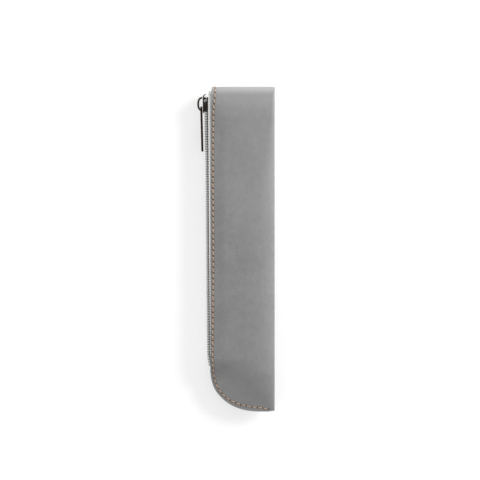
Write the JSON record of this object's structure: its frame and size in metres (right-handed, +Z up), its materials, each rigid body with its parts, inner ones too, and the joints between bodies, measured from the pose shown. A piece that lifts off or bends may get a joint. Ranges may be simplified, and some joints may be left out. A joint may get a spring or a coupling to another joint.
{
  "type": "zippered pencil case",
  "caption": "Slim zippered pencil case of folded grey leather, one rounded bottom corner, tan edge stitching, coil zip up one side, dark brass slider with a D-shaped bridge and a flat pull.",
  "frame": {"origin": "centre of the flat back face, in the middle of the leather's width and length", "axes": "+Z up out of the back through the thickness to the front face, +Y along the case to the folded top, +X across to the folded side, with the zip at -X"},
  "size_m": [0.0477, 0.2008, 0.0145],
  "materials": {
    "grey_leather": "matte, fine grain",
    "pale_tape": "woven tape",
    "pale_nylon": "satin nylon coil",
    "grey_sewing": "sewing thread",
    "tan_thread": "twisted thread",
    "dark_brass": "darkened, satin",
    "worn_brass": "darkened, lightly worn"
  },
  "bodies": {
    "case": {"leather_shell": "grey_leather", "zip_tape_front": "pale_tape", "zip_tape_back": "pale_tape", "coil_row_front": "pale_nylon", "coil_row_back": "pale_nylon", "coil_thread_front": "grey_sewing", "coil_thread_back": "grey_sewing", "stitch_thread_front": "tan_thread", "stitch_thread_back": "tan_thread", "flap_stitch_thread": "tan_thread"},
    "slider": {"slider_body": "dark_brass", "slider_bridge": "worn_brass"},
    "pull": {"pull_tab": "worn_brass"}
  },
  "joints": [
    {"name": "slider_slide", "type": "slide", "parent": "case", "child": "slider", "axis": [0.0083, -1, 0], "range_m": [0, 0.15], "deforming": ["zip_tape_front", "zip_tape_back", "coil_row_front", "coil_row_back", "coil_thread_front", "coil_thread_back"]},
    {"name": "pull_swing", "type": "hinge", "parent": "slider", "child": "pull", "pos_m": [-0.02542, 0.08747, 0.00725], "axis": [0, 0, -1], "range_deg": [0, 110]}
  ]
}
